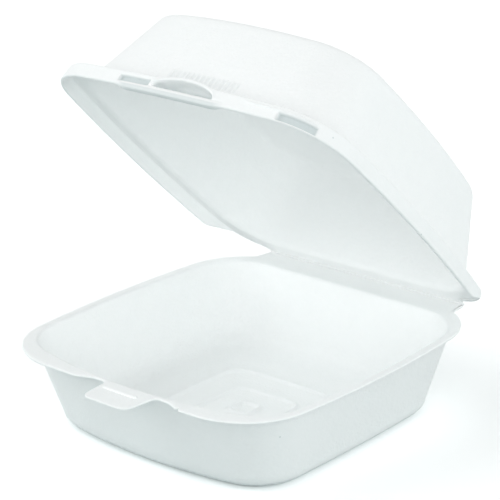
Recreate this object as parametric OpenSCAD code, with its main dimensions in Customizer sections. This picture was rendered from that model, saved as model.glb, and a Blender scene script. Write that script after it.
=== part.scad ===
// Foam clamshell container: a tray and a domed lid of formed foam sheet, joined by a crease at the back.
// Millimetres. X runs along the hinge, Y from the front (minus) to the back, Z up.
// The origin is the middle of the tray's foot. The lid stands open by open_angle.

/* [Tray] */
// Width of the tray over its rim
tray_w = 146; // [138:0.2:152]
// Depth of the tray's rim, front to back
tray_d = 158; // [150:0.5:166]
// Height of the tray to the top of its rim
tray_h = 37.4; // [33:0.2:43]
// Flange at the middle of each side
flange_side = 2.7; // [2.4:0.1:4]
// Flange at the middle of the front
flange_front = 3.6; // [3.2:0.1:5]
// Flange at the middle of the back
flange_back = 8.4; // [7:0.1:10]
// Lean of each side wall from rim to foot
side_draft = 10.6; // [7:0.2:14]
// Lean of the front wall from rim to foot
front_draft = 12.6; // [8:0.2:16]
// Lean of the back wall from rim to foot
back_draft = 8.2; // [5:0.2:12]
// Corner radius of the rim
rim_r = 31.9; // [26:0.2:35]
// Corner radius of the walls at the rim
wall_r = 25.4; // [22:0.2:30]
// Corner radius of the walls at the foot
foot_r = 22.7; // [18:0.2:26]
// Rounding of the foot's outer edge
foot_edge_r = 5.3; // [3:0.1:7]
// Rounding of the floor's inner edge
floor_edge_r = 7; // [4:0.1:9]
// Rounding of the rim's inner edge
rim_edge_r = 1.1; // [0.8:0.1:1.5]
// Bow of the rim's sides
rim_bow_side = 5.7; // [5:0.1:7]
// Bow of the rim's front
rim_bow_front = 1.4; // [1:0.1:2]
// Bow of the rim's back
rim_bow_back = 1.3; // [1:0.1:2]
// Bow of the walls' sides at the rim
wall_bow_side = 4.2; // [3.4:0.1:5]
// Bow of the front wall at the rim
wall_bow_front = 12.6; // [11:0.1:14]
// Bow of the back wall at the rim
wall_bow_back = 1; // [0.6:0.1:1.6]
// Bow of the side walls at the foot
foot_bow_side = 1.8; // [1:0.1:3]
// Bow of the front wall at the foot
foot_bow_front = 8; // [6:0.1:9.5]
// Bow of the back wall at the foot
foot_bow_back = 1.5; // [1:0.1:2.5]

/* [Sheet] */
// Thickness of the foam sheet in the walls
sheet_t = 1.8; // [1.4:0.1:2.4]
// Thickness of the pressed sheet in the lid's flange and skirt
flange_t = 1.7; // [1.3:0.1:2.2]
// Thickness of the pressed sheet in the tray's rim and tab
rim_t = 1.2; // [1:0.1:1.6]

/* [Floor ribs] */
// Height of the ribs pressed into the floor
rib_h = 0.9; // [0.4:0.1:1.2]
// Width of each rib
rib_w = 4.4; // [3:0.2:6]
// Half depth of the outer rib ring
rib_outer = 32; // [28:0.5:38]
// Half depth of the middle rib ring
rib_middle = 17; // [14:0.5:20]
// Half depth of the inner rib ring
rib_inner = 5; // [4:0.2:7]
// Corner radius of the outer rib ring
rib_outer_r = 10; // [8:0.5:14]
// Corner radius of the middle rib ring
rib_middle_r = 6; // [5:0.5:9]
// Corner radius of the inner rib ring
rib_inner_r = 2.4; // [2:0.1:2.8]
// Bow of the rib rings' sides
rib_bow = 0.4; // [0.3:0.1:0.6]
// Width of a rib ring over its depth
rib_square = 0.96; // [0.92:0.01:1]

/* [Lock] */
// Middle of the lock, as it stands in the front edge
lock_x = 4.5; // [0:0.5:6]
// Width of the tab
tab_w = 24.6; // [20:0.2:28]
// Length of the tab past the rim
tab_out = 12.8; // [11:0.2:15]
// Corner radius of the tab
tab_r = 4.4; // [2:0.2:6]
// Narrowing of the tab to its tip on each side
tab_taper = 1; // [0.5:0.1:1.5]
// Widening of the tab to its root on each side
tab_flare = 0.6; // [0.2:0.1:1]
// Width of the scoop on each side of the tab
scoop_w = 15; // [11:0.5:18]
// Flange left between each scoop and the wall
scoop_margin = 0.3; // [0.2:0.1:0.6]
// Rounding between the scoops and the tab
scoop_r = 2.6; // [2:0.1:3]
// Rounding of the rim's corners beside the scoops
rim_corner_r = 1.2; // [0.8:0.1:1.4]
// Place of the small nick in the rim, to the right of the lock
nick_x = 26.4; // [24:0.2:30]
// Radius of the nick
nick_r = 0.8; // [0.4:0.1:1]
// Length of the bead across the tab
bead_len = 17; // [12:0.5:20]
// Distance of the bead past the rim
bead_out = 3.6; // [3:0.1:5]
// Half width of the bead
bead_r = 1.1; // [0.7:0.1:1.2]
// Height of the bead over its half width
bead_flat = 0.8; // [0.6:0.05:0.9]
// Half width of the lock slot beyond the tab's half width
slot_side_gap = 3.1; // [2.8:0.1:4]
// Height of the slot's arch
slot_h = 5.3; // [5.2:0.1:6.5]
// Drop of the slot's lower edge below the tab
slot_drop = 1.9; // [1.6:0.1:2.4]
// Sheet thickness of the hood over the slot
hood_t = 1.5; // [1.2:0.1:2]
// How far the hood stands out of the skirt
hood_proud = 0.4; // [0.2:0.1:0.8]
// How far the hood reaches into the lid's front wall
hood_seat = 1.2; // [0.8:0.1:1.4]
// Sheet left between the slot and the lid's front wall
hood_back = 1.4; // [1:0.1:2]
// Half length of the latch bar
bar_half = 28.5; // [24:0.5:31]
// How far the latch bar stands out of the skirt
bar_out = 1.1; // [0.6:0.1:1.6]
// How far the latch bar hangs below the skirt
bar_drop = 1.4; // [0.8:0.1:2]
// How far the middle of the latch bar lies to the left of the lock
bar_shift = 6; // [4:0.5:8]
// Length over which each end of the latch bar runs out
bar_taper = 7; // [4:0.5:10]
// Height of the latch bar at its ends
bar_tip = 1; // [0.6:0.1:1.4]
// How far the latch bar stands in behind the skirt
bar_in = 0.5; // [0.2:0.1:0.8]

/* [Skirt details] */
// Number of grip ribs over the slot
grip_count = 14; // [10:2:16]
// Spacing of the grip ribs
grip_pitch = 2.5; // [2:0.1:2.6]
// Radius of each grip rib
grip_r = 0.6; // [0.4:0.1:0.8]
// Length of each grip rib
grip_len = 3.4; // [2.4:0.1:5]
// Gap between the hood and the grip ribs
grip_gap = 2; // [1.4:0.1:3]
// How much wider than the slot the row of grip ribs curves
grip_spread = 7; // [6:0.5:9]
// Length of the left pocket
pocket_l_len = 16; // [12:0.5:16.5]
// Middle of the left pocket, to the left of the latch bar's middle
pocket_l_x = 19.5; // [18.5:0.5:20]
// Height of the left pocket
pocket_l_h = 2.8; // [2:0.1:3]
// Drop of the left pocket below the parting plane
pocket_l_drop = 0.7; // [0.5:0.1:0.9]
// Length of the right pocket
pocket_r_len = 15; // [12:0.5:17]
// Middle of the right pocket, to the right of the lock
pocket_r_x = 53.5; // [50:0.5:54]
// Height of the right pocket
pocket_r_h = 3.1; // [2:0.1:3.3]
// Drop of the right pocket below the parting plane
pocket_r_drop = 1.4; // [0.8:0.1:1.6]
// Depth of the pockets
pocket_deep = 1.6; // [1:0.1:1.8]
// Sheet behind each pocket
pocket_back = 1.3; // [1:0.1:1.4]
// Sheet beyond the ends of each pocket
pocket_rim = 1.4; // [1:0.1:1.6]
// Start of the ridge, to the right of the lock
ridge_x = 29; // [27:0.5:31]
// Length of the ridge
ridge_len = 33; // [28:0.5:34]
// Height of the ridge
ridge_h = 1; // [0.6:0.1:1.4]
// Distance of the ridge behind the skirt's lower edge
ridge_inset = 0.1; // [0:0.1:0.3]
// Middle of the bump, to the left of the latch bar's middle
bump_x = 8; // [7:0.2:9]
// Height of the bump above the skirt's lower edge
bump_up = 4.4; // [4:0.1:4.8]
// Width of the bump
bump_w = 5.4; // [4:0.2:6]
// Height of the bump
bump_h = 3.6; // [2.4:0.1:4]
// Half depth of the bump
bump_deep = 1.1; // [0.9:0.1:1.4]
// How far the bump stands out past the skirt's lower edge
bump_out = 0.6; // [0.3:0.1:0.8]

/* [Lid] */
// Height of the lid above the parting plane
lid_h = 40.9; // [36:0.2:46]
// Height of the skirt below the parting plane
skirt_h = 5.3; // [4.4:0.1:6.4]
// Gap between skirt and tray rim at the sides
skirt_gap_side = 1.8; // [1.6:0.1:2.6]
// Gap between skirt and tray rim at the front
skirt_gap_front = 6.1; // [5.2:0.1:7]
// Lean of the skirt's face
skirt_lean = 0.9; // [0.4:0.1:1]
// Lid flange at the sides and back
lid_flange = 7.4; // [6.4:0.1:8.6]
// Lid flange at the front
lid_flange_front = 9.3; // [8.6:0.1:10.5]
// Lean of the lid's side walls
lid_side_draft = 10.9; // [7:0.2:14]
// Lean of the lid's front wall
lid_front_draft = 10.1; // [7:0.2:14]
// Lean of the lid's back wall
lid_back_draft = 8.7; // [6:0.2:12]
// Corner radius of the lid's skirt
skirt_r = 26.6; // [24:0.2:29]
// Corner radius of the lid's walls
lid_wall_r = 25.4; // [22:0.2:28]
// Rounding of the lid's top edge
lid_edge_r = 3.4; // [2:0.1:5]
// Where the skirt begins to rise towards the hinge, measured from the hinge
skirt_end = 28; // [24:0.5:34]
// Length over which the skirt rises
skirt_rise = 15; // [12:0.5:18]
// Rounding of the skirt's upper edge
skirt_edge_r = 1.2; // [0.8:0.1:1.4]
// Fillet between the lid's flange and walls outside
lid_fillet = 2.2; // [1.6:0.1:2.6]
// Fillet between the lid's flange and walls inside
lid_fillet_in = 2.3; // [1.6:0.1:2.6]
// Bow of the skirt's sides
skirt_bow_side = 6.4; // [5.6:0.1:6.8]
// Bow of the skirt's front
skirt_bow_front = 4.3; // [3.4:0.1:5]
// Bow of the lid's back edge
skirt_bow_back = 1.3; // [1:0.1:2]
// Bow of the lid's side walls at the flange
lid_foot_bow_side = 5.2; // [4.4:0.1:6]
// Bow of the lid's front wall at the flange
lid_foot_bow_front = 4.3; // [3.4:0.1:5]
// Bow of the lid's back wall at the flange
lid_foot_bow_back = 1; // [0.6:0.1:1.6]
// Bow of the lid's sides at the top
lid_top_bow_side = 5.4; // [4.4:0.1:6.4]
// Bow of the lid's front at the top
lid_top_bow_front = 7.2; // [6:0.1:8.4]
// Bow of the lid's back at the top
lid_top_bow_back = 2; // [1:0.1:3]

/* [Hinge] */
// Distance of the crease behind the rim
hinge_out = 5; // [4:0.1:7]
// Length of the crease
hinge_len = 107.8; // [96:0.2:112]
// Radius of the pressed bead along the crease
crease_r = 0.8; // [0.6:0.1:1]
// Width of the lid's strip along the crease
strip_w = 8.6; // [8:0.1:9.5]
// Distance of that strip in front of the crease
strip_back = 0.4; // [0.3:0.1:0.5]
// Distance of the lid's back edge in front of the crease
back_edge = 1; // [0.8:0.1:1.5]
// Free gap between tray and lid
gap = 0.3; // [0.25:0.05:0.4]
// How far the lid stands open
open_angle = 42.7; // [0:0.1:120]

/* [Hidden] */
foam = [0.93, 0.94, 0.935];
// Points along half a ring: middle pieces, corners, sides
mid_n = 4;
corner_n = 8;
side_n = 8;
hinge_y = tray_d / 2 + hinge_out;
hinge_z = tray_h + gap / 3;
// Lean of the walls, and the sheet's thickness measured level across them
lean_angle = atan(side_draft / tray_h);
wall_t = sheet_t / cos(lean_angle);
// Where each wall has a station between its ends
waist_share = 0.6;
// How far a cutter runs past what it cuts
past = 10;
// How far pieces run into what carries them
seat = 0.2;
rim_front = -tray_d / 2;
tab_end = rim_front - tab_out;
lid_under = hinge_z + gap / 3;
lid_flange_top = lid_under + flange_t;
skirt_low = hinge_z - skirt_h;
lid_top = hinge_z + lid_h;
slot_half = tab_w / 2 + slot_side_gap;
slot_low = tray_h - rim_t - slot_drop;
front_band = rim_front - skirt_gap_front - flange_t;
bar_x = lock_x - bar_shift;

// Sections: half width, front, back, bow of sides, front and back, corner radius
rim_sec = [tray_w / 2, rim_front, tray_d / 2, rim_bow_side, rim_bow_front, rim_bow_back, rim_r];
top_sec = [tray_w / 2 - flange_side, rim_front + flange_front, tray_d / 2 - flange_back,
    wall_bow_side, wall_bow_front, wall_bow_back, wall_r];
foot_sec = [top_sec[0] - side_draft, top_sec[1] + front_draft, top_sec[2] - back_draft,
    foot_bow_side, foot_bow_front, foot_bow_back, foot_r];
skirt_sec = [tray_w / 2 + skirt_gap_side + flange_t, front_band, hinge_y - back_edge,
    skirt_bow_side, skirt_bow_front, skirt_bow_back, skirt_r];
lid_foot_sec = [skirt_sec[0] - lid_flange, front_band + lid_flange_front, skirt_sec[2] - lid_flange,
    lid_foot_bow_side, lid_foot_bow_front, lid_foot_bow_back, lid_wall_r];
lid_top_sec = [lid_foot_sec[0] - lid_side_draft, lid_foot_sec[1] + lid_front_draft,
    lid_foot_sec[2] - lid_back_draft, lid_top_bow_side, lid_top_bow_front, lid_top_bow_back, lid_wall_r];

function mix(p, q, t) = p * (1 - t) + q * t;
function inset(p, d) = [p[0] - d, p[1] + d, p[2] - d, p[3], p[4], p[5], max(p[6] - d, 1)];
function arc_r(half, bow) = (half * half + bow * bow) / (2 * bow);
function turn(v) = atan2(v[1], v[0]);
// Points of an arc about c from p to q by the short way, without the last
function arc(c, p, q, n) =
    let (a0 = turn(p - c), d = turn(q - c) - a0, s = d > 180 ? d - 360 : d < -180 ? d + 360 : d)
    [for (i = [0:n - 1]) c + norm(p - c) * [cos(a0 + s * i / n), sin(a0 + s * i / n)]];
// Centre of the circle of radius r that touches two circles from inside, on the side of dir
function fillet_centre(c1, r1, c2, r2, r, dir) =
    let (d = norm(c2 - c1), u = (c2 - c1) / d, w = [-u[1], u[0]], a = r1 - r, b = r2 - r)
    let (x = (d * d + a * a - b * b) / (2 * d), h = sqrt(max(a * a - x * x, 0)))
    let (p = c1 + u * x + w * h, q = c1 + u * x - w * h)
    p * dir > q * dir ? p : q;
function on_circle(c, r, p) = c + (p - c) / norm(p - c) * r;
// Half ring from the middle of the back round the right side to the middle of the front
function half_ring(p) =
    let (b = (p[2] - p[1]) / 2, rs = arc_r(b, p[3]), rf = arc_r(p[0], p[4]), rb = arc_r(p[0], p[5]))
    let (cs = [p[0] - rs, 0], cf = [0, rf - b], cb = [0, b - rb])
    let (kb = fillet_centre(cs, rs, cb, rb, p[6], [1, 1]), kf = fillet_centre(cs, rs, cf, rf, p[6], [1, -1]))
    let (b2 = on_circle(cb, rb, kb), b1 = on_circle(cs, rs, kb))
    let (f1 = on_circle(cs, rs, kf), f2 = on_circle(cf, rf, kf))
    concat(arc(cb, [0, b], b2, mid_n), arc(kb, b2, b1, corner_n), arc(cs, b1, f1, side_n),
        arc(kf, f1, f2, corner_n), arc(cf, f2, [0, -b], mid_n), [[0, -b]]);
// Whole ring of a section, symmetric about the Y axis
function ring(p) =
    let (h = half_ring(p), n = len(h), cy = (p[1] + p[2]) / 2)
    concat([for (q = h) [q[0], q[1] + cy]], [for (i = [n - 2:-1:1]) [-h[i][0], h[i][1] + cy]]);
// Skin over a list of [section, height] stations, closed by flat caps at both ends
module skin(stations) {
    rings = [for (s = stations) [for (q = ring(s[0])) [q[0], q[1], s[1]]]];
    n = len(rings[0]);
    m = len(rings);
    sides = [for (i = [0:m - 2], j = [0:n - 1])
        let (a = i * n + j, b = i * n + (j + 1) % n) each [[a, b, b + n], [a, b + n, a + n]]];
    caps = [[for (j = [n - 1:-1:0]) j], [for (j = [0:n - 1]) (m - 1) * n + j]];
    polyhedron([for (r = rings) each r], concat(sides, caps), convexity = 8);
}
module round_out(r) offset(r = r, $fn = 32) offset(delta = -r) children();
module round_in(r) offset(r = -r, $fn = 32) offset(delta = r) children();

// Rib rings as stations, drawn from the middle of the floor outwards at level z
function rib_ring(hy, r, z) =
    [for (i = [-2:2]) let (d = i * rib_w / 4)
        [[hy * rib_square + d, -hy - d, hy + d, rib_bow, rib_bow, rib_bow, r + d / 2],
            z + rib_h * (1 + cos(i * 90)) / 2]];
function rib_rings(z) = concat(rib_ring(rib_inner, rib_inner_r, z),
    rib_ring(rib_middle, rib_middle_r, z), rib_ring(rib_outer, rib_outer_r, z));
function reversed(v) = [for (i = [len(v) - 1:-1:0]) v[i]];
function wall_at(z) = mix(foot_sec, top_sec, z / tray_h);
// Rounding of a leaning wall into a level face: [inset, height] pairs from the level face up
function rounding(r, n) = [for (i = [0:n]) let (q = 90 - (90 - lean_angle) * i / n)
    [r * (cos(lean_angle) - cos(q)), r * (1 - sin(q))]];

// Quarter round of radius r as [out, up] pairs, from upright to level
function cove(r) = [for (q = [0, 45, 90]) [r * (1 - cos(q)), r * sin(q)]];

module tray_bowl() {
    under = [for (e = rounding(foot_edge_r, 4)) [inset(wall_at(e[1]), e[0]), e[1]]];
    waist = tray_h * waist_share;
    upper = [[wall_at(waist), waist], [top_sec, tray_h]];
    rim_edge = reversed([for (e = cove(rim_edge_r))
        [inset(top_sec, wall_t - e[0]), tray_h - rim_edge_r + e[1]]]);
    down = [[inset(wall_at(waist), wall_t), waist]];
    floor_edge = reversed([for (e = rounding(floor_edge_r, 5))
        [inset(wall_at(sheet_t + e[1]), wall_t + e[0]), sheet_t + e[1]]]);
    skin(concat(rib_rings(0), under, upper, rim_edge, down, floor_edge, reversed(rib_rings(sheet_t))));
}
module scoop() {
    deep = rim_front + flange_front - scoop_margin;
    polygon([[0, deep], [scoop_w / 2, deep], [scoop_w, rim_front + scoop_margin],
        [scoop_w, rim_front - past], [0, rim_front - past]]);
}
module tab_plan() {
    root = tab_out + flange_front + past;
    round_out(tab_r) translate([-tab_w / 2, tab_end]) polygon([[tab_taper, 0], [tab_w - tab_taper, 0],
        [tab_w + tab_flare, root], [-tab_flare, root]]);
}
module flange_plan() {
    difference() {
        union() {
            round_out(rim_corner_r) round_in(scoop_r) union() {
                difference() {
                    polygon(ring(rim_sec));
                    for (s = [-1, 1])
                        translate([lock_x, 0]) scale([s, 1]) translate([tab_w / 2, 0]) scoop();
                }
                translate([lock_x, 0]) tab_plan();
            }
            translate([-hinge_len / 2, tray_d / 2 - flange_back])
                square([hinge_len, hinge_out + flange_back]);
        }
        polygon(ring(inset(top_sec, wall_t / 2)));
        translate([lock_x + nick_x, rim_front]) circle(r = nick_r, $fn = 12);
    }
}
module tray() {
    color(foam) union() {
        tray_bowl();
        translate([0, 0, tray_h - rim_t]) linear_extrude(rim_t) flange_plan();
        translate([lock_x - bead_len / 2, rim_front - bead_out, tray_h - seat]) rotate([0, 90, 0])
            scale([bead_flat, 1, 1]) cylinder(r = bead_r, h = bead_len, $fn = 12);
        translate([-hinge_len / 2, hinge_y, hinge_z]) rotate([0, 90, 0])
            cylinder(r = crease_r, h = hinge_len, $fn = 16);
    }
}

function lid_wall_at(z) = mix(lid_foot_sec, lid_top_sec, (z - lid_flange_top) / (lid_top - lid_flange_top));
module lid_dome() {
    ceiling = [for (e = rounding(lid_edge_r, 3))
        [inset(lid_wall_at(lid_top - sheet_t - e[1]), wall_t + e[0]), lid_top - sheet_t - e[1]]];
    top = reversed([for (e = rounding(lid_edge_r + sheet_t / 3, 4))
        [inset(lid_wall_at(lid_top - e[1]), e[0]), lid_top - e[1]]]);
    waist = mix(lid_flange_top, lid_top, waist_share);
    inner = [[inset(lid_wall_at(waist), wall_t), waist]];
    inner_foot = [for (e = cove(lid_fillet_in))
        [inset(lid_foot_sec, wall_t - e[0]), lid_under + lid_fillet_in - e[1]]];
    skirt = [[inset(skirt_sec, skirt_lean + flange_t + gap), lid_under],
        [inset(skirt_sec, skirt_lean + flange_t), lid_under - gap],
        [inset(skirt_sec, flange_t), skirt_low], [skirt_sec, skirt_low]];
    skirt_edge = [for (e = cove(skirt_edge_r))
        [inset(skirt_sec, skirt_lean + e[0]), lid_flange_top - skirt_edge_r + e[1]]];
    foot = reversed([for (e = cove(lid_fillet)) let (z = lid_flange_top + lid_fillet - e[1])
        [inset(lid_wall_at(z), -e[0]), z]]);
    outer = [[lid_wall_at(waist), waist]];
    skin(concat(ceiling, inner, inner_foot, skirt, skirt_edge, foot, outer, top));
}
// A length of the skirt's band between two offsets from its outer edge, at x from x0 to x1
module band(x0, x1, outer, inner, z0, z1) {
    translate([0, 0, z0]) linear_extrude(z1 - z0) intersection() {
        difference() {
            offset(delta = outer) polygon(ring(skirt_sec));
            offset(delta = -inner) polygon(ring(skirt_sec));
        }
        translate([x0, front_band - past]) square([x1 - x0, 2 * skirt_r]);
    }
}
// Arch of the lock: half an ellipse standing on the latch bar, run along Y from y0 to y1
module arch(half, high, y0, y1) {
    translate([lock_x, y1, slot_low]) rotate([90, 0, 0]) linear_extrude(y1 - y0) intersection() {
        scale([half, high]) circle(r = 1, $fn = 40);
        translate([-half, 0]) square([2 * half, high]);
    }
}
function front_at(z) = lid_wall_at(z)[1];
// Hood over the slot: it reaches down to the latch bar in the skirt only, and behind that stays above the tab
module hood() {
    wide = slot_half + hood_t;
    difference() {
        arch(wide, slot_h + hood_t, front_band - hood_proud, front_at(lid_flange_top) + hood_seat);
        translate([lock_x - wide - past, front_band + skirt_lean + flange_t, slot_low - past])
            cube([2 * (wide + past), lid_flange_front, lid_under - slot_low + past]);
    }
}
// Latch bar along the skirt's lower edge, running out at both ends
module latch_bar() {
    low = skirt_low - bar_drop;
    high = slot_low - seat;
    intersection() {
        band(bar_x - bar_half, bar_x + bar_half, bar_out, flange_t + bar_in, low, high);
        translate([bar_x, front_band + past]) rotate([90, 0, 0]) linear_extrude(2 * past)
            polygon([[-bar_half, high], [-bar_half, high - bar_tip], [-bar_half + bar_taper, low],
                [bar_half - bar_taper, low], [bar_half, high - bar_tip], [bar_half, high]]);
    }
}
module grip_ribs() {
    lean = atan(lid_front_draft / (lid_top - lid_flange_top));
    for (i = [0:grip_count - 1]) {
        x = (i - (grip_count - 1) / 2) * grip_pitch;
        z = slot_low + (slot_h + hood_t + grip_gap) * sqrt(1 - pow(x / (slot_half + grip_spread), 2));
        bow = lid_foot_bow_front * pow((lock_x + x) / lid_foot_sec[0], 2);
        translate([lock_x + x, front_at(z) + bow, z]) rotate([-lean, 0, 0])
            cylinder(r = grip_r, h = grip_len, $fn = 8);
    }
}
// A pocket pressed into the skirt: the sheet round it, and the hollow
module pocket_sheet(x, len) {
    half = len / 2 + pocket_rim;
    band(x - half, x + half, -skirt_lean - seat, pocket_deep + pocket_back, skirt_low, lid_under + seat);
}
module pocket_hollow(x, len, h, drop) {
    top = lid_under - drop;
    band(x - len / 2, x + len / 2, past, pocket_deep, top - h, top);
}
// What the skirt loses behind the sides, where it rises to the crease
module skirt_rise_cut() {
    stop = hinge_y - skirt_end + skirt_rise;
    high = lid_under - skirt_low;
    translate([-tray_w, 0, 0]) rotate([90, 0, 90]) linear_extrude(2 * tray_w)
        polygon([[stop, lid_under], [stop - 2 * skirt_rise, lid_under - 2 * high],
            [hinge_y + past, lid_under - 2 * high], [hinge_y + past, lid_under]]);
}
module lid_closed() {
    left_x = bar_x - pocket_l_x;
    right_x = lock_x + pocket_r_x;
    ridge_start = lock_x + ridge_x;
    difference() {
        union() {
            lid_dome();
            translate([-hinge_len / 2, hinge_y - strip_back - strip_w, lid_under]) linear_extrude(flange_t)
                square([hinge_len, strip_w]);
            hood();
            latch_bar();
            pocket_sheet(left_x, pocket_l_len);
            pocket_sheet(right_x, pocket_r_len);
            band(ridge_start, ridge_start + ridge_len, -ridge_inset, flange_t,
                lid_under - ridge_h, lid_under);
            translate([bar_x - bump_x, front_band - bump_out + bump_deep, skirt_low + bump_up])
                scale([bump_w / 2, bump_deep, bump_h / 2]) sphere(r = 1, $fn = 12);
            grip_ribs();
        }
        arch(slot_half, slot_h, front_band - past, front_at(lid_flange_top) - hood_back);
        pocket_hollow(left_x, pocket_l_len, pocket_l_h, pocket_l_drop);
        pocket_hollow(right_x, pocket_r_len, pocket_r_h, pocket_r_drop);
        skirt_rise_cut();
        translate([-tray_w, hinge_y, hinge_z]) rotate([0, 90, 0])
            cylinder(r = crease_r + gap, h = 2 * tray_w, $fn = 24);
    }
}
module lid() {
    color(foam) translate([0, hinge_y, hinge_z]) rotate([-open_angle, 0, 0])
        translate([0, -hinge_y, -hinge_z]) lid_closed();
}

tray();
lid();
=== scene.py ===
import bpy
import numpy as np
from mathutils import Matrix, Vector


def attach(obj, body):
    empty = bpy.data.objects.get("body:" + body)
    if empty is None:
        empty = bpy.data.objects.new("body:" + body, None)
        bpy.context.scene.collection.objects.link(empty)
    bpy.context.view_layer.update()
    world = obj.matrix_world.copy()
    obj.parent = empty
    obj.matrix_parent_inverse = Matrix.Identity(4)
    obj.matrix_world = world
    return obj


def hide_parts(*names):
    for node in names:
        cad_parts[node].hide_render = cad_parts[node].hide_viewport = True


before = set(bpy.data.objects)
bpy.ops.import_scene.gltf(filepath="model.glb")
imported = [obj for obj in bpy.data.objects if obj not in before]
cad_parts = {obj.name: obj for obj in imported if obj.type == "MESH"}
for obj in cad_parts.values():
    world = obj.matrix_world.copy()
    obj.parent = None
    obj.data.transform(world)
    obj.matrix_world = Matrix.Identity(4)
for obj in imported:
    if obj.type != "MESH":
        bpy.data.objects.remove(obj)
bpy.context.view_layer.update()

# Sizes in millimetres, after the solids; floor ribs, grip ribs and nick are drawn a little stronger here
MM = 0.001
TRAY_H = 37.4
SHEET_T = 1.8
WALL_T = 1.871
RIM_T = 1.2
FLANGE_T = 1.7
FOOT_EDGE_R = 5.3
FLOOR_EDGE_R = 7.0
RIM_BEND = 1.5
RIM_ROLL = 1.6
RIB_H = 1.2
RIB_W = 3.8
RIB_RINGS = ((5.4, 2.4), (17.6, 6.0), (33.0, 10.0))
WALL_LEAN = np.radians(15.825)
LOCK_X = 4.5
TAB_HALF = 12.3
TAB_END = -91.8
LOCK_REACH = 30
SCOOP_Y = -75.7
NICK_X = 26.4
NICK_DEEP = 1.3
NICK_W = 0.55
SLOT_HALF = 15.4
SLOT_LOW = 34.3
SLOT_H = 5.3
HOOD_T = 1.5
BAR_X = -1.5
BAR_HALF = 28.5
BAR_OUT = 1.1
BAR_DROP = 1.4
BAR_TAPER = 7.0
HINGE_Y = 84.0
HINGE_Z = 37.5
HINGE_HALF = 53.9
LID_UNDER = 37.6
LID_FLANGE_TOP = 39.3
LID_TOP = 78.39
LID_EDGE_R = 3.4
LID_SAG = 0.5
LID_FILLET = 2.2
LID_FILLET_IN = 2.4
SKIRT_LOW = 32.2
SKIRT_LEAN = 0.9
SKIRT_EDGE_R = 1.2
POCKET_DEEP = 1.5
POCKET_EDGE = 0.6
GRIP_LOW = 42.6
GRIP_LEN = 6
GRIP_PITCH = 2.5
GRIP_W = 1.5
GRIP_HALF = 17.4
GRIP_RISE = 0.45
SKIRT_RISE_Y = 56.0
SKIRT_RISE_LEN = 15.0
OPEN_ANGLE = np.radians(42.7)

# Pockets in the skirt: from x, to x, from z, to z
POCKETS = ((BAR_X - 27.8, BAR_X - 11.2, 33.8, 37.1), (LOCK_X + 45.7, LOCK_X + 61.3, 32.8, 36.5))

# Soft lights: degrees to the right of the front, degrees up, strength
LIGHTS = ((300, 12, 2.0), (30, 12, 2.0), (60, 12, 1.2), (120, 12, 1.7), (180, 12, 1.8), (240, 12, 0.9),
          (300, 40, 2.0), (90, 40, 1.0))
LIGHT_POWER = 8
LIGHT_TINT = (0.975, 1.0, 1.0, 1)

# The floor: the share of light that it throws back, its whiteness where it is seen,
# and its height and half its width in metres
FLOOR_BOUNCE = (0.43, 0.50, 0.50)
FLOOR_SEEN = (1.32, 1.32, 1.32)
FLOOR_Z = -0.00005
FLOOR_HALF = 1.5

# The photograph's camera: degrees to the right of the front, degrees up, aim, distance, lens in pixels
CAMERA_TURN = 39.46
CAMERA_RISE = 19.69
CAMERA_AIM = (-6.85, 11.97, 68.57)
CAMERA_AWAY = 906.68
LENS_PX = 2161.06
PHOTO_PX = 500
SENSOR = 36

# Colours of the foam: its two tones, and the grey for pressed foam and for painted shade
FOAM_SHADE = (0.940, 0.950, 0.949, 1)
FOAM_LIGHT = (0.950, 0.957, 0.956, 1)
FOAM_PRESSED_AND_SHADE = (0.640, 0.690, 0.695, 1)
# How far the painted shade between the grip ribs goes to the grey, from 0 to 1
GRIP_GROOVE_SHADE = 0.2

# Grey dots: specks in the foam at places on its outer faces, and painted shade in the nick
SPECKS_AND_NICK_SHADE = ((62.7, -54.4, 26.4), (69.0, -31.6, 142.2), (76.4, 17.3, 92.5), (30.9, -77.8, 37.0))
SPECK_AND_SHADE_R = 0.5

# Outlines: half width, front, back, bow of sides, front and back, corner radius
RIM = np.array([73.0, -79.0, 79.0, 5.7, 1.4, 1.3, 31.9])
WALL_TOP = np.array([70.3, -75.4, 70.6, 4.2, 12.6, 1.0, 25.4])
FOOT = np.array([59.7, -62.8, 62.4, 1.8, 8.0, 1.5, 22.7])
SKIRT = np.array([76.5, -86.8, 83.0, 6.4, 4.3, 1.3, 26.6])
LID_FOOT = np.array([69.1, -77.5, 75.6, 5.2, 4.3, 1.0, 25.4])
LID_ROOF = np.array([58.2, -67.4, 66.9, 5.4, 7.2, 2.0, 25.4])


def mix(p, q, t):
    """Straight blend from p to q, t from 0 to 1."""
    return p + (q - p) * t


def smooth_step(t):
    """Rises from 0 to 1 between t = 0 and t = 1 along the cubic 3t^2 - 2t^3."""
    t = np.clip(t, 0, 1)
    return t * t * (3 - 2 * t)


def window(x, low, high, ramp):
    """1 between low and high, running out to 0 over ramp inside each end."""
    return smooth_step((x - low) / ramp) * smooth_step((high - x) / ramp)


def soft_max(p, q, blend):
    """The greater of p and q, with the corner between them rounded over blend."""
    return (p + q + np.sqrt((p - q) ** 2 + blend ** 2)) / 2


def inset(section, depth):
    """An outline moved inwards by depth, its corner radius less by as much."""
    step = np.array([-1.0, 1.0, -1.0, 0.0, 0.0, 0.0, -1.0])
    out = section + np.asarray(depth, float)[..., None] * step
    out[..., 6] = np.maximum(out[..., 6], 1.0)
    return out


def shrunk(section, share):
    """An outline scaled about its own middle."""
    share = np.asarray(share, float)[..., None]
    out = section * share
    middle = (section[1] + section[2]) / 2
    out[..., 1:3] += middle * (1 - share)
    return out


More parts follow.
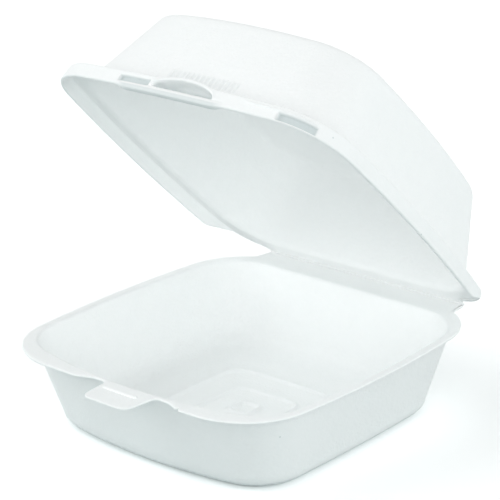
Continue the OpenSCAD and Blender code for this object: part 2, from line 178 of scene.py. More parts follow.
def corner_centre(c1, r1, c2, r2, r, side):
    """Centre of the circle of radius r touching two circles from inside, on the given side."""
    line = c2 - c1
    dist = np.hypot(line[:, 0], line[:, 1])
    along = line / dist[:, None]
    across = np.stack([-along[:, 1], along[:, 0]], -1)
    a = r1 - r
    b = r2 - r
    foot = (dist ** 2 + a ** 2 - b ** 2) / (2 * dist)
    high = np.sqrt(np.maximum(a ** 2 - foot ** 2, 0))
    base = c1 + along * foot[:, None]
    p = base + across * high[:, None]
    q = base - across * high[:, None]
    return np.where(((p - q) @ np.array(side) > 0)[:, None], p, q)


def ring(sections, place):
    """Points of outlines at places 0 to 10 round them, as rows by columns.

    Each half is five arcs, one per unit of place: half the back, a corner, the side, a corner and
    half the front, each touching the next. Places past 5 mirror the first half.
    """
    s = np.atleast_2d(sections)
    a = s[:, 0]
    b = (s[:, 2] - s[:, 1]) / 2
    middle = (s[:, 2] + s[:, 1]) / 2
    side_r = (b ** 2 + s[:, 3] ** 2) / (2 * s[:, 3])
    front_r = (a ** 2 + s[:, 4] ** 2) / (2 * s[:, 4])
    back_r = (a ** 2 + s[:, 5] ** 2) / (2 * s[:, 5])
    zero = np.zeros_like(a)
    side_c = np.stack([a - side_r, zero], -1)
    front_c = np.stack([zero, front_r - b], -1)
    back_c = np.stack([zero, b - back_r], -1)
    back_k = corner_centre(side_c, side_r, back_c, back_r, s[:, 6], (1, 1))
    front_k = corner_centre(side_c, side_r, front_c, front_r, s[:, 6], (1, -1))

    def touch(c, r, k):
        """Points where the line from c through k leaves the circle of radius r about c."""
        line = k - c
        return c + line / np.hypot(line[:, 0], line[:, 1])[:, None] * r[:, None]

    joints = np.stack([
        np.stack([zero, b], -1), touch(back_c, back_r, back_k), touch(side_c, side_r, back_k),
        touch(side_c, side_r, front_k), touch(front_c, front_r, front_k), np.stack([zero, -b], -1)], 1)
    centres = np.stack([back_c, back_k, side_c, front_k, front_c], 1)
    out = joints[:, :5] - centres
    end = joints[:, 1:] - centres
    radius = np.hypot(out[..., 0], out[..., 1])
    start = np.arctan2(out[..., 1], out[..., 0])
    sweep = np.arctan2(end[..., 1], end[..., 0]) - start
    sweep = (sweep + np.pi) % (2 * np.pi) - np.pi
    place = np.asarray(place, float)
    half = np.where(place <= 5, place, 10 - place)
    arc = np.clip(half.astype(int), 0, 4)
    angle = start[:, arc] + sweep[:, arc] * (half - arc)
    x = centres[:, arc, 0] + radius[:, arc] * np.cos(angle)
    y = centres[:, arc, 1] + radius[:, arc] * np.sin(angle)
    return np.stack([np.where(place <= 5, x, -x), y + middle[:, None]], -1)


def outward(outline):
    """Unit normals of a closed outline run clockwise seen from above, from its neighbours' difference."""
    along = np.roll(outline, -1, 0) - np.roll(outline, 1, 0)
    along /= np.hypot(along[:, 0], along[:, 1])[:, None]
    return np.stack([-along[:, 1], along[:, 0]], -1)


def places(section, spacing, start, stop):
    """Places from start to stop whose distance along the outline follows spacing(points)."""
    fine = np.linspace(start, stop, 20001)
    points = ring(section, fine)[0]
    step = np.hypot(*np.diff(points, axis=0).T)
    near = (spacing(points[1:]) + spacing(points[:-1])) / 2
    count = np.concatenate([[0], np.cumsum(step / near)])
    total = int(round(count[-1]))
    return np.interp(np.arange(total) * count[-1] / total, count, fine)


def place_of_x(section, x):
    """Places on the front half of an outline that lie at the given x."""
    fine = np.linspace(3, 7, 8001)
    return np.interp(-np.asarray(x), -ring(section, fine)[0, :, 0], fine)


def front_shift(place, share):
    """Places moved along the front arc so that x there grows by share near its middle."""
    u = np.clip(5 - place, -1, 1)
    return place - u * share * (1 - u ** 4) * (np.abs(5 - place) <= 1)


def rounding(r, count):
    """Inset and height of points on the arc from a level face up into a leaning wall."""
    q = np.linspace(np.pi / 2, WALL_LEAN, count)
    return r * (np.cos(WALL_LEAN) - np.cos(q)), r * (1 - np.sin(q))


def rounded_path(corners, radii, count):
    """Evenly spaced points on a line through corners, each rounded by an arc of its radius."""
    pieces = [np.array(corners[:1], float)]
    for before, at, after, r in zip(corners, corners[1:], corners[2:], radii):
        p, c, q = (np.array(v, float) for v in (before, at, after))
        u = (p - c) / np.hypot(*(p - c))
        v = (q - c) / np.hypot(*(q - c))
        half = np.arccos(np.clip(u @ v, -1, 1)) / 2
        bisector = (u + v) / np.hypot(*(u + v))
        centre = c + bisector * r / np.sin(half)
        p1 = c + u * r / np.tan(half) - centre
        p2 = c + v * r / np.tan(half) - centre
        t = np.linspace(0, 1, 33)[:, None]
        arc = p1 * (1 - t) + p2 * t
        pieces.append(centre + arc / np.hypot(arc[:, 0], arc[:, 1])[:, None] * r)
    pieces.append(np.array(corners[-1:], float))
    line = np.concatenate(pieces)
    run = np.concatenate([[0], np.cumsum(np.hypot(*np.diff(line, axis=0).T))])
    even = np.linspace(0, run[-1], count)
    return np.stack([np.interp(even, run, line[:, 0]), np.interp(even, run, line[:, 1])], -1)


def lift(points, z):
    """Rows of plan points given heights per row, or per row and column."""
    z = np.asarray(z, float)
    if z.ndim == 1 and points.ndim == 3:
        z = z[:, None]
    z = np.broadcast_to(z, points.shape[:-1])
    return np.concatenate([points, z[..., None]], -1)


def fan(rows, row, pole, turned):
    """Triangles from one row of a closed grid to a single point."""
    count = rows.shape[1]
    a = row * count + np.arange(count)
    b = row * count + np.roll(np.arange(count), -1)
    tip = np.full(count, pole)
    return np.stack([b, a, tip] if turned else [a, b, tip], -1)


def make_piece(name, points, quads, tris, pressed):
    """A mesh object from millimetre points, four-sided and three-sided faces, shaded smooth.

    The last argument tells for each point, from 0 to 1, how far its colour goes to grey: pressed foam, and
    painted shade.
    """
    faces = quads.tolist() + tris.tolist()
    mesh = bpy.data.meshes.new(name)
    mesh.from_pydata((points * MM).tolist(), [], faces)
    mesh.polygons.foreach_set("use_smooth", np.ones(len(faces), bool))
    mesh.attributes.new("pressed", "FLOAT", "POINT").data.foreach_set("value", pressed)
    mesh.update()
    piece = bpy.data.objects.new(name, mesh)
    bpy.context.scene.collection.objects.link(piece)
    return piece


def shell(name, rows, first, last, hole=None, pressed=0.0):
    """Closed skin over a grid of rows, each row a closed loop, ending in the points first and last.

    hole, if given, is (a_in, b_in, b_out, a_out, columns): the faces between rows a_in and b_in and
    between b_out and a_out are left out over those columns, and the edges of the opening are joined.
    The last argument is the share of grey at the grid's points: pressed foam, and painted shade.
    """
    count = rows.shape[1]
    index = np.arange(rows.shape[0] * count).reshape(rows.shape[:2])
    beside = np.roll(index, -1, 1)
    quads = np.stack([index[:-1], beside[:-1], beside[1:], index[1:]], -1)
    keep = np.ones(quads.shape[:2], bool)
    extra = np.zeros((0, 4), int)
    if hole is not None:
        a_in, b_in, b_out, a_out, cols = hole
        keep[a_in, cols] = False
        keep[b_out, cols] = False
        arch = np.stack([index[a_in, cols], beside[a_in, cols], beside[a_out, cols], index[a_out, cols]], -1)
        sill = np.stack([index[b_out, cols], beside[b_out, cols], beside[b_in, cols], index[b_in, cols]], -1)
        j = cols[0]
        k = (cols[-1] + 1) % count
        ends = np.array([[index[a_in, j], index[a_out, j], index[b_out, j], index[b_in, j]],
                         [index[a_in, k], index[b_in, k], index[b_out, k], index[a_out, k]]])
        extra = np.concatenate([arch, sill, ends])
    quads = np.concatenate([quads[keep], extra])
    tris = np.concatenate([fan(rows, 0, rows.shape[0] * count, True),
                           fan(rows, rows.shape[0] - 1, rows.shape[0] * count + 1, False)])
    points = np.concatenate([rows.reshape(-1, 3), [first], [last]])
    corner = points[np.concatenate([quads[:, [0, 1, 2]], quads[:, [0, 2, 3]], tris])]
    volume = np.einsum("ij,ij->i", corner[:, 0], np.cross(corner[:, 1], corner[:, 2])).sum()
    if volume < 0:
        quads = quads[:, ::-1]
        tris = tris[:, ::-1]
    share = np.append(np.broadcast_to(pressed, rows.shape[:2]), [0, 0])
    return make_piece(name, points, quads, tris, share.astype(np.float32))


def wall_at(z):
    """Outlines of the tray's outer wall at heights z, blended from foot to rim."""
    return mix(FOOT, WALL_TOP, np.asarray(z, float)[..., None] / TRAY_H)


def rib_rows():
    """Outlines and rise of the rib rings in the floor, from the middle out: cosine-squared ridges."""
    u = np.linspace(-1, 1, 9)
    half = np.array([h for h, r in RIB_RINGS])[:, None]
    corner = np.array([r for h, r in RIB_RINGS])[:, None]
    d = u[None] * RIB_W / 2
    bow = np.full((len(RIB_RINGS), len(u)), 0.4)
    sections = np.stack([half * 0.96 + d, -half - d, half + d, bow, bow, bow, corner + d / 2], -1)
    rise = np.broadcast_to(RIB_H * np.cos(np.pi * u / 2) ** 2, bow.shape)
    return sections.reshape(-1, 7), rise.reshape(-1)


def rim_outline(place, front):
    """Outer edge of the rim: its outline, with the lock's edge in front and the crease's strip behind."""
    edge = ring(RIM, place)[0]
    x, y = edge.T
    strip = smooth_step((HINGE_HALF + 0.5 - np.abs(x)) / 0.7) * (y > 0)
    y = y + strip * (HINGE_Y - 0.35 - y)
    edge = np.stack([x, y], -1)
    edge[front[0]] = front[1]
    return edge


def lock_edge(count):
    """The rim's front edge at the lock: a scoop on each side of the rounded tab, and a small nick."""
    ends = LOCK_X + np.array([LOCK_REACH, 27.6, -27.6, -LOCK_REACH])
    near = ring(RIM, place_of_x(RIM, ends))[0]
    side = [(LOCK_X + 19.8, SCOOP_Y), (LOCK_X + 12.9, SCOOP_Y), (LOCK_X + 11.3, TAB_END)]
    other = [(2 * LOCK_X - x, y) for x, y in side[::-1]]
    corners = [near[0], near[1]] + side + other + [near[2], near[3]]
    path = rounded_path(corners, [7, 6, 2.6, 4.4, 4.4, 2.6, 6, 7], count)
    path[:, 1] += NICK_DEEP * np.exp(-((path[:, 0] - LOCK_X - NICK_X) / NICK_W) ** 2)
    return path


def tray_shell():
    """The tray: one skin from the middle of the foot out, up the wall, round the rim and down inside."""
    path = lock_edge(250)
    root = TAB_HALF + 1.2
    near_tab = np.nonzero(np.abs(path[:, 0] - LOCK_X) < root)[0]
    along = path[:, 0].copy()
    along[near_tab] = LOCK_X + np.linspace(root, -root, len(near_tab))
    front_place = place_of_x(RIM, along)

    def spacing(p):
        """Distance of columns: 1.6, less at the crease's ends and where the lock's edge begins."""
        at_step = np.exp(-((np.abs(p[:, 0]) - HINGE_HALF) / 0.9) ** 2) * (p[:, 1] > 0)
        at_lock = np.exp(-((p[:, 0] - LOCK_X - LOCK_REACH) / 1.5) ** 2) * (p[:, 1] < 0)
        return 1.6 - 1.45 * at_step - 1.3 * at_lock

    before = places(RIM, spacing, 0, front_place[0])
    after = places(RIM, spacing, front_place[-1], 10)[1:]
    place = np.concatenate([before, front_place, after])
    inner_place = front_shift(place, -0.22)
    lock = slice(len(before), len(before) + len(front_place))
    edge = rim_outline(place, (lock, path))
    out = outward(edge)
    round_r = RIM_T / 2
    edge_in = edge - out * round_r

    rib_sections, rib_rise = rib_rows()
    foot_in, foot_z = rounding(FOOT_EDGE_R, 9)
    foot_sections = inset(wall_at(foot_z), foot_in)
    under = np.concatenate([
        lift(ring(rib_sections, inner_place), rib_rise),
        lift(ring(mix(rib_sections[-1], foot_sections[0], np.array([[0.35], [0.7]])), inner_place), [0, 0]),
        lift(ring(foot_sections, inner_place), foot_z)])
    low = TRAY_H - RIM_T
    wall_z = np.linspace(foot_z[-1], low - RIM_BEND, 14)[1:]
    wall = lift(ring(wall_at(wall_z), inner_place), wall_z)
    q = np.linspace(0, np.pi / 2, 7)[1:]
    bend_z = low - RIM_BEND * (1 - np.sin(q))
    bend_base = ring(wall_at(bend_z), inner_place)
    reach = edge_in - bend_base[-1]
    far = np.hypot(reach[:, 0], reach[:, 1])
    go = reach / far[:, None] * np.minimum(RIM_BEND, 0.7 * far)[:, None]
    bend_rows = lift(bend_base + go * (1 - np.cos(q))[:, None, None], bend_z)
    last = bend_rows[-1, :, :2]
    under_flange = lift(mix(last, edge_in, np.array([0.33, 0.67])[:, None, None]), [low, low])
    q = np.linspace(-np.pi / 2, np.pi / 2, 11)
    rim = lift(edge_in + out * round_r * np.cos(q)[:, None, None], low + round_r * (1 + np.sin(q)))
    q = np.linspace(0, np.pi / 2 - WALL_LEAN, 8)
    roll_z = TRAY_H - RIM_ROLL * (1 - np.cos(q))
    roll_sections = inset(WALL_TOP, WALL_T - RIM_ROLL + RIM_ROLL * np.sin(q))
    roll_rows = lift(ring(roll_sections, inner_place), roll_z)
    share = np.array([0.25, 0.5, 0.75])[:, None, None]
    flange = lift(mix(edge_in, roll_rows[0, :, :2], share), np.full(3, TRAY_H))
    floor_in, floor_z = rounding(FLOOR_EDGE_R, 10)
    floor_in = floor_in[::-1]
    floor_z = floor_z[::-1] + SHEET_T
    inner_z = np.linspace(roll_z[-1], floor_z[0], 12)[1:-1]
    inner = lift(ring(inset(wall_at(inner_z), np.full(10, WALL_T)), inner_place), inner_z)
    floor_sections = inset(wall_at(floor_z), WALL_T + floor_in)
    floor = np.concatenate([
        lift(ring(floor_sections, inner_place), floor_z),
        lift(ring(mix(floor_sections[-1], rib_sections[-1], np.array([[0.3], [0.65]])), inner_place),
             [SHEET_T, SHEET_T]),
        lift(ring(rib_sections[::-1], inner_place), rib_rise[::-1] + SHEET_T)])
    rows = np.concatenate([under, wall, bend_rows, under_flange, rim, flange, roll_rows, inner, floor])
    return shell("tray_skin", rows, (0, 0, 0), (0, 0, SHEET_T))


def opened(rows):
    """Points of the shut lid turned open about the crease."""
    y = rows[..., 1] - HINGE_Y
    z = rows[..., 2] - HINGE_Z
    c = np.cos(OPEN_ANGLE)
    s = np.sin(OPEN_ANGLE)
    return np.stack([rows[..., 0], HINGE_Y + y * c + z * s, HINGE_Z - y * s + z * c], -1)


def lid_shell():
    """The lid: one skin from the middle of its ceiling down inside, round the skirt and up outside.

    The skirt carries the lock's slot as an opening under a hood, a latch bar below it, two pressed
    pockets, a ridge and a bump; the front wall carries a row of grip ribs over the hood.
    """
    def spacing(p):
        """Distance of columns: 1.7, less at the lock, the right pocket and the crease's ends."""
        front = p[:, 1] < -40
        lock = window(p[:, 0], -40, 40, 4) * front
        pocket = window(p[:, 0], 34, 70, 3) * front
        step = np.exp(-((np.abs(p[:, 0]) - HINGE_HALF) / 1.2) ** 2) * (p[:, 1] > 0)
        return 1.7 - np.maximum(np.maximum(1.38 * lock, 1.25 * pocket), 1.4 * step)

    place = places(SKIRT, spacing, 0, 10)
    base = ring(SKIRT, place)[0]
    out = outward(base)
    x, y = base.T
    strip = smooth_step((HINGE_HALF + 0.6 - np.abs(x)) / 0.9) * (y > 0)
    edge = np.stack([x, y + strip * (HINGE_Y - 0.45 - y)], -1)
    wall_place = front_shift(place, 0.14)
    front = y < -40

    dx = (x - LOCK_X) * front + 99 * ~front
    arch = SLOT_LOW + SLOT_H * np.sqrt(np.maximum(1 - (dx / SLOT_HALF) ** 2, 0))
    wide = SLOT_HALF + HOOD_T
    hood = SLOT_LOW + (SLOT_H + HOOD_T) * np.sqrt(np.maximum(1 - (dx / wide) ** 2, 0))
    flange_top = soft_max(np.full_like(x, LID_FLANGE_TOP), hood, 0.7) - 0.02
    under = np.maximum(LID_UNDER, arch)
    in_slot = np.nonzero(np.abs(dx) < SLOT_HALF - 0.15)[0]

    bar = window(x, BAR_X - BAR_HALF, BAR_X + BAR_HALF, BAR_TAPER) * front
    rise = (y - SKIRT_RISE_Y) / SKIRT_RISE_LEN
    rise = soft_max(rise, 0 * rise, 0.12) - 0.03
    bottom = SKIRT_LOW + np.minimum(rise, 1) * (LID_UNDER - SKIRT_LOW)
    bottom = np.minimum(np.maximum(bottom, SKIRT_LOW), LID_UNDER - 0.15) - BAR_DROP * bar
    high = flange_top - SKIRT_EDGE_R
    sill = np.maximum(SLOT_LOW, bottom + 0.36 * (high - bottom))
    head = np.maximum(arch, sill + 0.25)

    def lean(z):
        """How far the skirt leans inwards at heights z, growing evenly from its lower edge up."""
        return SKIRT_LEAN * np.clip((z - SKIRT_LOW) / (LID_FLANGE_TOP - SKIRT_EDGE_R - SKIRT_LOW), 0, 1.3)

    def pockets(z):
        """1 in the two pockets that are pressed into the skirt, 0 outside them."""
        inside_one = 0
        for x0, x1, z0, z1 in POCKETS:
            inside_one = inside_one + window(x, x0, x1, POCKET_EDGE) * window(z, z0, z1, POCKET_EDGE)
        return inside_one * front

    def relief(z):
        """How far the skirt's sheet is pressed inwards: the pockets, less a ridge and a bump.

        The ridge is a bell curve in height along a length of the skirt, the bump one in both directions.
        """
        ridge = window(x, LOCK_X + 29, LOCK_X + 62, 3) * np.exp(-((z - 37.3) / 0.45) ** 2)
        bump = np.exp(-((x - BAR_X + 8) / 2.2) ** 2 - ((z - 36.6) / 1.4) ** 2)
        return (POCKET_DEEP * pockets(z) - 0.55 * ridge - 0.6 * bump) * front

    def lip(z):
        """Raised edge round the arch of the slot: a bell curve of the height over the arch."""
        over = (z - head) / 1.3
        near = np.exp(-(over - 0.5) ** 2 * 3) * window(dx, -wide - 1, wide + 1, 2.5)
        return 0.45 * near

    def skirt_out(z):
        """Outer face of the skirt at heights z: its lean, relief, lip and the round of the latch bar."""
        u = np.clip((z - bottom) / np.maximum(sill - bottom, 0.1), 0, 1)
        belly = bar * BAR_OUT * np.sqrt(np.maximum(1 - (1.75 * u - 0.78) ** 2, 0))
        depth = lean(z) + relief(z) - lip(z) * (z >= head - 0.01) - belly
        return lift(edge - out * depth[..., None], z)

    def skirt_in(z, more=0.0):
        """Inner face of the skirt at heights z: a sheet behind the outer face, thicker at the latch bar."""
        depth = lean(z) + FLANGE_T + relief(z) + 0.5 * bar * (z < sill + 0.01) + more
        return lift(edge - out * depth[..., None], z)

    def between(low, top, count, open_end=True):
        """Rows of heights in count even steps from low to top, without the last if open_end."""
        t = np.linspace(0, 1, count + 1)
        t = t[:-1] if open_end else t
        return low + (top - low) * t[:, None]

    roof = ring(LID_ROOF, wall_place)[0]
    foot = ring(LID_FOOT, wall_place)[0]
    roof_in = ring(inset(LID_ROOF, np.array(WALL_T)), wall_place)[0]
    foot_in = ring(inset(LID_FOOT, np.array(WALL_T)), wall_place)[0]

    def share_at(z):
        """How far heights z are up the wall: 0 at the flange, 1 at the top."""
        return (z - LID_FLANGE_TOP) / (LID_TOP - LID_FLANGE_TOP)

    ceil_in, ceil_down = rounding(LID_EDGE_R, 8)
    ceil_z = LID_TOP - SHEET_T - ceil_down
    ceil_sections = inset(mix(LID_FOOT, LID_ROOF, share_at(ceil_z)[:, None]), WALL_T + ceil_in)
    spread = np.array([0.03, 0.2, 0.4, 0.6, 0.8, 0.93])
    sag = LID_SAG * (1 - spread ** 2) ** 2
    ceiling = np.concatenate([
        lift(ring(shrunk(ceil_sections[0], spread), wall_place), LID_TOP - SHEET_T - sag),
        lift(ring(ceil_sections, wall_place), ceil_z)])
    z = np.linspace(ceil_z[-1], LID_UNDER + LID_FILLET_IN, 14)[1:]
    inside = lift(mix(foot_in, roof_in, share_at(z)[:, None, None]), z)
    q = np.linspace(0, np.pi / 2, 7)[1:]
    curve = LID_FILLET * (1 - np.cos(q))
    z = LID_UNDER + LID_FILLET_IN * (1 - np.sin(q))
    foot_line = mix(foot_in, roof_in, share_at(z)[:, None, None])
    foot_out = outward(foot)
    inner_foot = lift(foot_line + foot_out * curve[:, None, None], z)
    corner = skirt_in(under[None], 0.35)[0]
    t = np.array([0.1, 0.22, 0.34, 0.6, 0.85])[:, None]
    start = inner_foot[-1, :, :2]
    z = LID_UNDER + (under - LID_UNDER) * smooth_step((t - 0.08) / 0.26)
    below = lift(mix(start, corner[:, :2], t[..., None]), z)
    t = np.linspace(0, 1, 7)[:-1, None]
    inner_top = skirt_in(under + (head - under) * t, 0.35 * (1 - t))
    a_in = len(ceiling) + len(inside) + len(inner_foot) + len(below) + len(inner_top)
    edge_r = np.minimum(0.7, 0.45 * (sill - bottom))
    inner_low = skirt_in(between(sill, bottom + edge_r, 4))
    end_in = skirt_in((bottom + edge_r)[None])[0]
    end_out = skirt_out((bottom + edge_r)[None])[0]
    q = np.linspace(0, np.pi, 11)[:, None]
    hem = np.concatenate([
        mix(end_in[None, :, :2], end_out[None, :, :2], ((1 - np.cos(q)) / 2)[..., None]),
        (bottom + edge_r - edge_r * np.sin(q))[..., None]], -1)
    outer_low = skirt_out(between(bottom + edge_r, sill, 9, False)[1:])
    outer_high = skirt_out(between(head, high, 13, False))
    q = np.linspace(0, np.pi / 2, 7)[1:, None]
    turn = np.concatenate([
        outer_high[-1][None, :, :2] - out[None] * (SKIRT_EDGE_R * (1 - np.cos(q)))[..., None],
        (high + SKIRT_EDGE_R * np.sin(q))[..., None]], -1)
    flange_in = foot + foot_out * LID_FILLET
    t = np.array([0.2, 0.4, 0.6, 0.8])[:, None]
    flange = lift(mix(turn[-1, :, :2], flange_in, t[..., None]), np.broadcast_to(flange_top, (4, len(x))))
    q = np.linspace(0, np.pi / 2, 7)[:, None]
    z = flange_top + LID_FILLET * (1 - np.cos(q))
    wall_line = mix(foot, roof, share_at(z)[..., None])
    wall_foot = lift(wall_line + foot_out * (LID_FILLET * (1 - np.sin(q)))[..., None], z)
    top_in, top_down = rounding(LID_EDGE_R + 0.6, 9)
    t = np.concatenate([np.linspace(0, 0.24, 17)[1:], np.linspace(0.24, 1, 14)[1:-1]])[:, None]
    z = mix(wall_foot[-1, :, 2], LID_TOP - top_down[-1], t)
    wall_line = mix(foot, roof, share_at(z)[..., None])
    rib_x = wall_line[..., 0] - LOCK_X + GRIP_PITCH
    number = rib_x / GRIP_PITCH - 0.5
    off = GRIP_PITCH * (number - np.round(number))
    ribs = np.cos(np.pi * np.clip(off / GRIP_W, -0.5, 0.5)) ** 2 * (np.abs(rib_x) < GRIP_HALF) * front
    row = window(z, GRIP_LOW, GRIP_LOW + GRIP_LEN, 1.2) * (np.abs(rib_x) < GRIP_HALF + 0.2) * front
    # Painted shade in the grooves between the grip ribs
    groove_shade = GRIP_GROOVE_SHADE * row * (1 - ribs)
    outside = lift(wall_line + foot_out * (GRIP_RISE * row * ribs)[..., None], z)
    roof_z = (LID_TOP - top_down)[::-1]
    roof_sections = inset(mix(LID_FOOT, LID_ROOF, share_at(roof_z)[:, None]), top_in[::-1])
    spread = spread[::-1]
    sag = sag[::-1]
    top = np.concatenate([
        lift(ring(roof_sections, wall_place), roof_z),
        lift(ring(shrunk(roof_sections[-1], spread), wall_place), LID_TOP - sag)])
    rows = np.concatenate([ceiling, inside, inner_foot, below, inner_top, skirt_in(head[None]), inner_low,
                           hem, outer_low, outer_high, turn, flange, wall_foot, outside, top])
    b_out = a_in + 1 + len(inner_low) + len(hem) + len(outer_low) - 1
    pressed = np.zeros(rows.shape[:2])
    outer = slice(b_out + 1 - len(outer_low), b_out + 1 + len(outer_high))
    # The pockets go grey: partly pressed foam, partly painted shade in their recess
    pressed[outer] = pockets(rows[outer, :, 2])
    # Painted shade between the grip ribs
    pressed[-len(top) - len(outside):-len(top)] = groove_shade
    first = b_out + 1 - len(outer_low) - len(hem)
    # Painted shade on the latch bar: over its hem and the low part of its outer face
    pressed[first:first + len(hem)] = 0.6 * bar
    low_part = np.linspace(0, 1, len(outer_low))[:, None]
    pressed[first + len(hem):b_out + 1] += 0.6 * bar * smooth_step((0.55 - low_part) / 0.3)
    middle = (LID_ROOF[1] + LID_ROOF[2]) / 2
    ends = opened(np.array([[0, middle, LID_TOP - SHEET_T - LID_SAG], [0, middle, LID_TOP - LID_SAG]]))
    hole = (a_in, a_in + 1, b_out, b_out + 1, in_slot[:-1])
    return shell("lid_skin", opened(rows), ends[0], ends[1], hole, pressed)


def round_bar(name, x0, x1, y, z, ry, rz, end):
    """A bar along X of elliptic section whose ends run out as ellipsoid caps of length end."""
    a = np.linspace(0, np.pi / 2, 9)[1:]
    x = np.concatenate([x0 + end * (1 - np.cos(a)), np.linspace(x0 + end, x1 - end, 40)[1:-1],
                        x1 - end * (1 - np.cos(a[::-1]))])
    girth = np.concatenate([np.sin(a), np.ones(38), np.sin(a[::-1])])[:, None]
    v = np.linspace(0, 2 * np.pi, 24, endpoint=False)
    rows = np.stack([np.broadcast_to(x[:, None], (len(x), 24)), y + girth * ry * np.cos(v),
                     z + girth * rz * np.sin(v)], -1)
    return shell(name, rows, (x0, y, z), (x1, y, z))


def foam_finish():
    """White foam: a fine cell grain as bump, and a faint cool mottle in its colour and gloss.

    Greyer are a few specks, the pockets as pressed foam with painted shade, and painted shade between the
    grip ribs, under the latch bar and in the nick.
    """
    material = bpy.data.materials.new("foam")
    material.use_nodes = True
    tree = material.node_tree
    shader = tree.nodes["Principled BSDF"]
    where = tree.nodes.new("ShaderNodeTexCoord")

    def noise(scale, detail, rough):
        """Cloudy noise over the piece, with scale features to the metre."""
        node = tree.nodes.new("ShaderNodeTexNoise")
        node.inputs["Scale"].default_value = scale
        node.inputs["Detail"].default_value = detail
        node.inputs["Roughness"].default_value = rough
        tree.links.new(where.outputs["Object"], node.inputs["Vector"])
        return node.outputs["Fac"]

    def ramp(value, low, high, dark, light):
        """A value that runs from dark to light as the given one runs from low to high."""
        node = tree.nodes.new("ShaderNodeMapRange")
        node.inputs["From Min"].default_value = low
        node.inputs["From Max"].default_value = high
        node.inputs["To Min"].default_value = dark
        node.inputs["To Max"].default_value = light
        tree.links.new(value, node.inputs["Value"])
        return node.outputs["Result"]

    cells = tree.nodes.new("ShaderNodeTexVoronoi")
    cells.feature = "SMOOTH_F1"
    cells.inputs["Scale"].default_value = 900
    cells.inputs["Smoothness"].default_value = 0.6
    tree.links.new(where.outputs["Object"], cells.inputs["Vector"])
    mottle = noise(160, 4, 0.6)
    tint = tree.nodes.new("ShaderNodeMix")
    tint.data_type = "RGBA"
    tint.inputs["A"].default_value = FOAM_SHADE
    tint.inputs["B"].default_value = FOAM_LIGHT
    tree.links.new(ramp(mottle, 0.35, 0.62, 0, 1), tint.inputs["Factor"])
    pressed = tree.nodes.new("ShaderNodeAttribute")
    pressed.attribute_name = "pressed"
    grey = pressed.outputs["Fac"]
    # Grey dots: specks in the foam, and painted shade in the nick
    for place in SPECKS_AND_NICK_SHADE:
        away = tree.nodes.new("ShaderNodeVectorMath")
        away.operation = "DISTANCE"
        away.inputs[1].default_value = np.array(place) * MM
        tree.links.new(where.outputs["Object"], away.inputs[0])
        speck_and_nick_shade = ramp(away.outputs["Value"], SPECK_AND_SHADE_R * MM, 0.3 * SPECK_AND_SHADE_R * MM, 0, 1)
        more = tree.nodes.new("ShaderNodeMath")
        more.operation = "MAXIMUM"
        tree.links.new(grey, more.inputs[0])
        tree.links.new(speck_and_nick_shade, more.inputs[1])
        grey = more.outputs["Value"]
    # Grey for pressed foam, for painted shade and for specks
    greyer = tree.nodes.new("ShaderNodeMix")
    greyer.data_type = "RGBA"
    greyer.inputs["B"].default_value = FOAM_PRESSED_AND_SHADE
    tree.links.new(grey, greyer.inputs["Factor"])
    tree.links.new(tint.outputs["Result"], greyer.inputs["A"])
    tree.links.new(greyer.outputs["Result"], shader.inputs["Base Color"])
    tree.links.new(ramp(noise(420, 3, 0.5), 0.3, 0.7, 0.42, 0.56), shader.inputs["Roughness"])
    height = tree.nodes.new("ShaderNodeMath")
    height.operation = "ADD"
    tree.links.new(ramp(cells.outputs["Distance"], 0, 0.8, 0, 1), height.inputs[0])
    tree.links.new(ramp(noise(350, 3, 0.6), 0.3, 0.7, 0, 0.8), height.inputs[1])
    bump = tree.nodes.new("ShaderNodeBump")
    bump.inputs["Strength"].default_value = 0.6
    bump.inputs["Distance"].default_value = 0.00017
    tree.links.new(height.outputs["Value"], bump.inputs["Height"])
    tree.links.new(bump.outputs["Normal"], shader.inputs["Normal"])
    shader.inputs["Specular IOR Level"].default_value = 0.35
    return material


def camera():
    """The photograph's view: a long lens, a little above and to the right of the lock."""
    azimuth = np.radians(CAMERA_TURN)
    height = np.radians(CAMERA_RISE)
    target = Vector([v * MM for v in CAMERA_AIM])
    back = Vector((np.sin(azimuth) * np.cos(height), -np.cos(azimuth) * np.cos(height), np.sin(height)))
    data = bpy.data.cameras.new("camera")
    data.sensor_width = SENSOR
    data.lens = SENSOR * LENS_PX / PHOTO_PX
    eye = bpy.data.objects.new("camera", data)
    eye.location = target + back * CAMERA_AWAY * MM
    eye.rotation_euler = (-back).to_track_quat("-Z", "Y").to_euler()
    bpy.context.scene.collection.objects.link(eye)
    bpy.context.scene.camera = eye


def seen_directly(tree):
    """1 for the rays that show surroundings as they look: from the camera, in gloss and through glass."""
    path = tree.nodes.new("ShaderNodeLightPath")
    share = path.outputs["Is Camera Ray"]
    for kind in ("Is Glossy Ray", "Is Transmission Ray"):
        either = tree.nodes.new("ShaderNodeMath")
        either.operation = "MAXIMUM"
        tree.links.new(share, either.inputs[0])
        tree.links.new(path.outputs[kind], either.inputs[1])
        share = either.outputs["Value"]
    return share


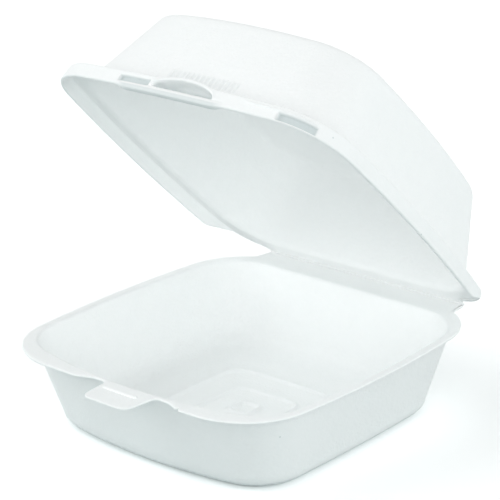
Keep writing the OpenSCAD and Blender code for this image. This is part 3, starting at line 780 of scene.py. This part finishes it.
def sky():
    """Soft light from a few sides, white where it is seen.

    Each light is a lobe: its strength times the cosine of the angle to its middle, to LIGHT_POWER.
    """
    world = bpy.data.worlds.new("sky")
    world.use_nodes = True
    tree = world.node_tree
    where = tree.nodes.new("ShaderNodeTexCoord")

    def maths(operation, value, other):
        """A maths node that takes a value and a number."""
        node = tree.nodes.new("ShaderNodeMath")
        node.operation = operation
        tree.links.new(value, node.inputs[0])
        node.inputs[1].default_value = other
        return node

    total = None
    for turn, rise, strength in LIGHTS:
        a = np.radians(turn)
        e = np.radians(rise)
        middle = tree.nodes.new("ShaderNodeVectorMath")
        middle.operation = "DOT_PRODUCT"
        middle.inputs[1].default_value = (np.sin(a) * np.cos(e), -np.cos(a) * np.cos(e), np.sin(e))
        tree.links.new(where.outputs["Generated"], middle.inputs[0])
        ahead = maths("MAXIMUM", middle.outputs["Value"], 0)
        lobe = maths("POWER", ahead.outputs["Value"], LIGHT_POWER)
        lobe = maths("MULTIPLY", lobe.outputs["Value"], strength)
        if total is not None:
            both = maths("ADD", lobe.outputs["Value"], 0)
            tree.links.new(total.outputs["Value"], both.inputs[1])
            lobe = both
        total = lobe
    light = tree.nodes["Background"]
    light.inputs["Color"].default_value = LIGHT_TINT
    tree.links.new(total.outputs["Value"], light.inputs["Strength"])
    white = tree.nodes.new("ShaderNodeBackground")
    white.inputs["Color"].default_value = (1, 1, 1, 1)
    white.inputs["Strength"].default_value = 1.0
    pick = tree.nodes.new("ShaderNodeMixShader")
    tree.links.new(seen_directly(tree), pick.inputs["Fac"])
    tree.links.new(light.outputs["Background"], pick.inputs[1])
    tree.links.new(white.outputs["Background"], pick.inputs[2])
    tree.links.new(pick.outputs["Shader"], tree.nodes["World Output"].inputs["Surface"])
    bpy.context.scene.world = world


def floor():
    """A plain pale table that looks white up to the shadow under the object's edge.

    It throws back a share of FLOOR_BOUNCE of the light, as a grey table does. Where it is seen, it is
    matt and has the whiteness FLOOR_SEEN, which comes out white in open light and keeps the shadow.
    """
    mesh = bpy.data.meshes.new("floor")
    side = np.linspace(-FLOOR_HALF, FLOOR_HALF, 2)
    u, v = np.meshgrid(side, side)
    corners = np.stack([u, v, np.full_like(u, FLOOR_Z)], -1).reshape(-1, 3)
    mesh.from_pydata(corners.tolist(), [], [(0, 1, 3, 2)])
    piece = bpy.data.objects.new("floor", mesh)
    bpy.context.scene.collection.objects.link(piece)
    material = bpy.data.materials.new("floor")
    material.use_nodes = True
    tree = material.node_tree
    tree.nodes.remove(tree.nodes["Principled BSDF"])
    pick = tree.nodes.new("ShaderNodeMixShader")
    tree.links.new(seen_directly(tree), pick.inputs["Fac"])
    for k, white in ((1, FLOOR_BOUNCE), (2, FLOOR_SEEN)):
        matt = tree.nodes.new("ShaderNodeBsdfDiffuse")
        matt.inputs["Color"].default_value = (*white, 1)
        tree.links.new(matt.outputs["BSDF"], pick.inputs[k])
    tree.links.new(pick.outputs["Shader"], tree.nodes["Material Output"].inputs["Surface"])
    piece.data.materials.append(material)


foam = foam_finish()
tray = tray_shell()
lid = lid_shell()
bead = round_bar("tab_bead", LOCK_X - 10, LOCK_X + 8, y=-80.6, z=TRAY_H - 0.2, ry=1.1, rz=0.88, end=1.2)
crease = round_bar("crease", -HINGE_HALF, HINGE_HALF, y=HINGE_Y, z=HINGE_Z, ry=0.52, rz=0.5, end=0.7)
for piece, body in ((tray, "tray"), (lid, "lid"), (bead, "tray"), (crease, "tray")):
    piece.data.materials.append(foam)
    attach(piece, body)
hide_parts("tray")
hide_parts("lid")

camera()
sky()
floor()
bpy.context.scene.view_settings.view_transform = "Standard"
# Light goes on bouncing between the white walls inside
bpy.context.scene.cycles.diffuse_bounces = 10
